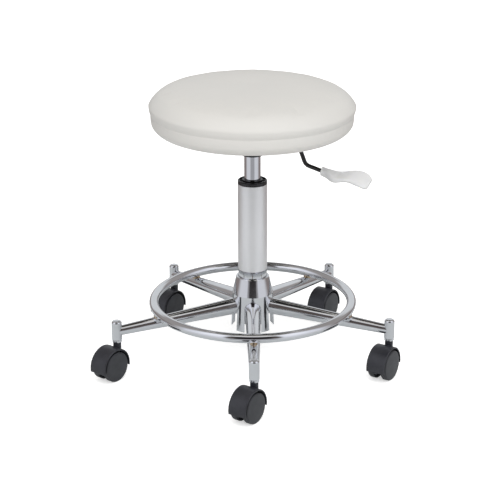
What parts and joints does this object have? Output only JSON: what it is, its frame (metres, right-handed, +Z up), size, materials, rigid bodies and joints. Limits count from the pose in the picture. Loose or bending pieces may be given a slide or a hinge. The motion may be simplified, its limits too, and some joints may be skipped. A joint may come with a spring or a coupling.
{
  "type": "dentist stool",
  "caption": "Round padded stool on a gas lift with a release lever, a star base of tapered tube legs, a foot ring and twin-wheel casters.",
  "frame": {"origin": "on the floor, on the column's axis, with the gas lift at its lowest position", "axes": "+Z up along the column; the front leg points to -Y; the release lever is on the +X side"},
  "size_m": [0.5293, 0.5122, 0.495],
  "materials": {
    "chrome": "bright plated",
    "bare_steel": "turned",
    "weld": "plated weld bead, slightly tarnished",
    "satin_column": "satin silver",
    "black_plastic": "moulded",
    "rubber": "moulded",
    "black_paint": "powder coated",
    "zinc": "zinc plated",
    "vinyl": "vinyl, fine grain, satin",
    "foam": "open-cell foam",
    "plywood": "raw plywood",
    "dust_cloth": "spunbond cloth",
    "grip_plastic": "translucent white",
    "caster_plastic": "moulded nylon",
    "wheel_plastic": "moulded nylon"
  },
  "bodies": {
    "base": {"hub_shell": "chrome", "hub_sleeve": "bare_steel", "foot_ring": "chrome", "ring_welds": "weld", "caster_stems": "bare_steel", "stem_grip_rings": "bare_steel", "column_sleeve": "satin_column", "stand_tube": "chrome", "tube_floor": "bare_steel", "guide_bush": "black_plastic", "bearing_lower_race": "bare_steel", "bearing_balls": "bare_steel", "leg_front": "chrome", "leg_front_right": "chrome", "leg_back_right": "chrome", "leg_back_left": "chrome", "leg_front_left": "chrome", "leg_socket_front": "chrome", "leg_socket_front_right": "chrome", "leg_socket_back_right": "chrome", "leg_socket_back_left": "chrome", "leg_socket_front_left": "chrome"},
    "lift_rod": {"bearing_upper_race": "bare_steel", "rubber_bumper": "rubber", "piston_rod": "bare_steel", "piston": "bare_steel", "retaining_clip": "bare_steel"},
    "seat": {"gas_cylinder": "chrome", "rod_gland": "bare_steel", "mounting_plate": "black_paint", "plate_bolts": "zinc", "lever_pivot_pin": "bare_steel", "seat_cover": "vinyl", "seat_foam": "foam", "seat_board": "plywood", "tee_nuts": "zinc", "dust_cover": "dust_cloth"},
    "lever": {"lever_rod": "black_paint", "lever_grip": "grip_plastic"},
    "pin": {"release_pin": "bare_steel"},
    "caster_front": {"caster_body_front": "caster_plastic", "caster_axle_front": "bare_steel"},
    "wheel_front_left": {"caster_wheel_front_left": "wheel_plastic"},
    "wheel_front_right": {"caster_wheel_front_right": "wheel_plastic"},
    "caster_front_right": {"caster_body_front_right": "caster_plastic", "caster_axle_front_right": "bare_steel"},
    "wheel_front_right_left": {"caster_wheel_front_right_left": "wheel_plastic"},
    "wheel_front_right_right": {"caster_wheel_front_right_right": "wheel_plastic"},
    "caster_back_right": {"caster_body_back_right": "caster_plastic", "caster_axle_back_right": "bare_steel"},
    "wheel_back_right_left": {"caster_wheel_back_right_left": "wheel_plastic"},
    "wheel_back_right_right": {"caster_wheel_back_right_right": "wheel_plastic"},
    "caster_back_left": {"caster_body_back_left": "caster_plastic", "caster_axle_back_left": "bare_steel"},
    "wheel_back_left_left": {"caster_wheel_back_left_left": "wheel_plastic"},
    "wheel_back_left_right": {"caster_wheel_back_left_right": "wheel_plastic"},
    "caster_front_left": {"caster_body_front_left": "caster_plastic", "caster_axle_front_left": "bare_steel"},
    "wheel_front_left_left": {"caster_wheel_front_left_left": "wheel_plastic"},
    "wheel_front_left_right": {"caster_wheel_front_left_right": "wheel_plastic"}
  },
  "joints": [
    {"name": "seat_swivel", "type": "hinge", "parent": "base", "child": "lift_rod", "pos_m": [0, 0, 0.1], "axis": [0, 0, 1], "continuous": true},
    {"name": "seat_lift", "type": "slide", "parent": "lift_rod", "child": "seat", "axis": [0, 0, 1], "range_m": [0, 0.13]},
    {"name": "lever_tilt", "type": "hinge", "parent": "seat", "child": "lever", "pos_m": [0.03263, -0.01521, 0.4075], "axis": [-0.4226, -0.9063, 0], "range_deg": [0, 6.5], "stiffness_Nm_per_rad": 1.5},
    {"name": "release_press", "type": "slide", "parent": "seat", "child": "pin", "axis": [0, 0, -1], "range_m": [0, 0.0042]},
    {"name": "caster_swivel_front", "type": "hinge", "parent": "base", "child": "caster_front", "pos_m": [0, -0.244, 0.06], "axis": [0, 0, 1], "continuous": true},
    {"name": "wheel_spin_front_left", "type": "hinge", "parent": "caster_front", "child": "wheel_front_left", "pos_m": [-0.01078, -0.2594, 0.0262], "axis": [-0.8192, 0.5736, 0], "continuous": true},
    {"name": "wheel_spin_front_right", "type": "hinge", "parent": "caster_front", "child": "wheel_front_right", "pos_m": [-0.01078, -0.2594, 0.0262], "axis": [-0.8192, 0.5736, 0], "continuous": true},
    {"name": "caster_swivel_front_right", "type": "hinge", "parent": "base", "child": "caster_front_right", "pos_m": [0.23206, -0.0754, 0.06], "axis": [0, 0, 1], "continuous": true},
    {"name": "wheel_spin_front_right_left", "type": "hinge", "parent": "caster_front_right", "child": "wheel_front_right_left", "pos_m": [0.22209, -0.09134, 0.0262], "axis": [-0.848, 0.5299, 0], "continuous": true},
    {"name": "wheel_spin_front_right_right", "type": "hinge", "parent": "caster_front_right", "child": "wheel_front_right_right", "pos_m": [0.22209, -0.09134, 0.0262], "axis": [-0.848, 0.5299, 0], "continuous": true},
    {"name": "caster_swivel_back_right", "type": "hinge", "parent": "base", "child": "caster_back_right", "pos_m": [0.14342, 0.1974, 0.06], "axis": [0, 0, 1], "continuous": true},
    {"name": "wheel_spin_back_right_left", "type": "hinge", "parent": "caster_back_right", "child": "wheel_back_right_left", "pos_m": [0.13318, 0.18163, 0.0262], "axis": [-0.8387, 0.5446, 0], "continuous": true},
    {"name": "wheel_spin_back_right_right", "type": "hinge", "parent": "caster_back_right", "child": "wheel_back_right_right", "pos_m": [0.13318, 0.18163, 0.0262], "axis": [-0.8387, 0.5446, 0], "continuous": true},
    {"name": "caster_swivel_back_left", "type": "hinge", "parent": "base", "child": "caster_back_left", "pos_m": [-0.14342, 0.1974, 0.06], "axis": [0, 0, 1], "continuous": true},
    {"name": "wheel_spin_back_left_left", "type": "hinge", "parent": "caster_back_left", "child": "wheel_back_left_left", "pos_m": [-0.15473, 0.18239, 0.0262], "axis": [-0.7986, 0.6018, 0], "continuous": true},
    {"name": "wheel_spin_back_left_right", "type": "hinge", "parent": "caster_back_left", "child": "wheel_back_left_right", "pos_m": [-0.15473, 0.18239, 0.0262], "axis": [-0.7986, 0.6018, 0], "continuous": true},
    {"name": "caster_swivel_front_left", "type": "hinge", "parent": "base", "child": "caster_front_left", "pos_m": [-0.23206, -0.0754, 0.06], "axis": [0, 0, 1], "continuous": true},
    {"name": "wheel_spin_front_left_left", "type": "hinge", "parent": "caster_front_left", "child": "wheel_front_left_left", "pos_m": [-0.24389, -0.09001, 0.0262], "axis": [-0.7771, 0.6293, 0], "continuous": true},
    {"name": "wheel_spin_front_left_right", "type": "hinge", "parent": "caster_front_left", "child": "wheel_front_left_right", "pos_m": [-0.24389, -0.09001, 0.0262], "axis": [-0.7771, 0.6293, 0], "continuous": true}
  ],
  "couplings": [
    {"joint": "release_press", "follows": "lever_tilt", "m_per_rad": 0.036}
  ]
}
